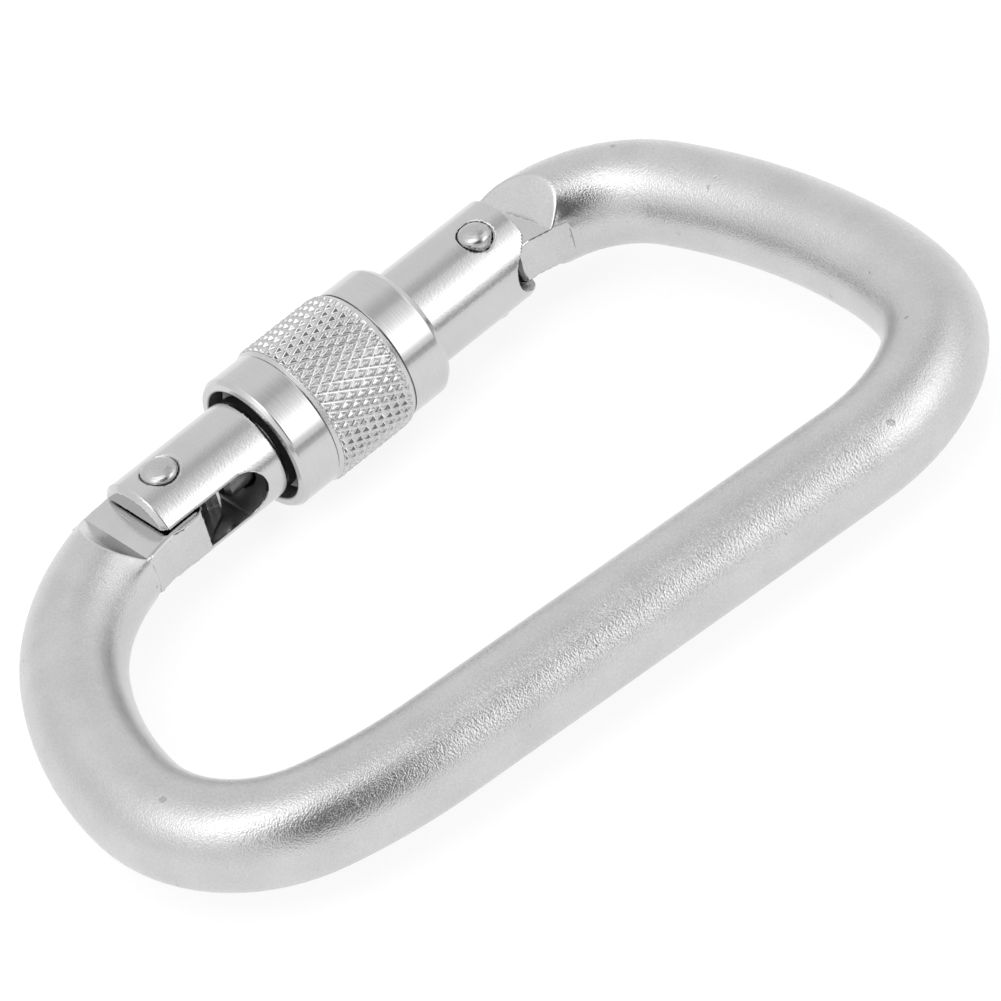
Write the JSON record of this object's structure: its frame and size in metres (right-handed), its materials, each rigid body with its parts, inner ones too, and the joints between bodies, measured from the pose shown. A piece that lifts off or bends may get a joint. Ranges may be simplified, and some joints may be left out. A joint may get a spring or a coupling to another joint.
{
  "type": "screw-lock carabiner",
  "caption": "Steel D-shaped carabiner with a spring-closed hinged gate and a knurled screw sleeve that slides along the gate to lock it.",
  "frame": {"origin": "centre of the overall bounding box", "axes": "+X along the closed gate from its hinge to its nose, +Y out of the D through the gate, +Z square to the flat of the D"},
  "size_m": [0.1082, 0.0678, 0.0166],
  "materials": {
    "frame_bar": "satin zinc plate",
    "gate": "smooth satin zinc plate",
    "hinge_rivet": "satin",
    "latch_pin": "polished dome",
    "plunger": "bare turned steel",
    "gate_spring": "drawn spring wire",
    "sleeve_core": "turned satin zinc plate",
    "sleeve_front_ring": "turned satin zinc plate",
    "sleeve_grip": "diamond knurl, zinc plate"
  },
  "bodies": {
    "frame": {"frame_bar": "frame_bar"},
    "gate": {"gate": "gate", "hinge_rivet": "hinge_rivet", "latch_pin": "latch_pin", "gate_spring": "gate_spring"},
    "plunger": {"plunger": "plunger"},
    "sleeve": {"sleeve_core": "sleeve_core", "sleeve_front_ring": "sleeve_front_ring"},
    "grip": {"sleeve_grip": "sleeve_grip"}
  },
  "joints": [
    {"name": "gate_swing", "type": "hinge", "parent": "frame", "child": "gate", "pos_m": [-0.01897, 0.02558, 0], "axis": [0, 0, -1], "range_deg": [0, 28], "stiffness_Nm_per_rad": 0.08, "springref_deg": -42.97},
    {"name": "plunger_slide", "type": "slide", "parent": "gate", "child": "plunger", "axis": [1, 0, 0], "range_m": [0, 0.0006], "deforming": ["gate_spring"]},
    {"name": "sleeve_travel", "type": "slide", "parent": "gate", "child": "sleeve", "axis": [1, 0, 0], "range_m": [0, 0.017]},
    {"name": "sleeve_turn", "type": "hinge", "parent": "sleeve", "child": "grip", "pos_m": [0.00273, 0.02558, 0], "axis": [1, 0, 0], "range_deg": [0, 4080]}
  ],
  "couplings": [
    {"joint": "plunger_slide", "follows": "gate_swing", "m_per_rad": 0.0010231},
    {"joint": "sleeve_turn", "follows": "sleeve_travel", "rad_per_m": 4188.8}
  ]
}
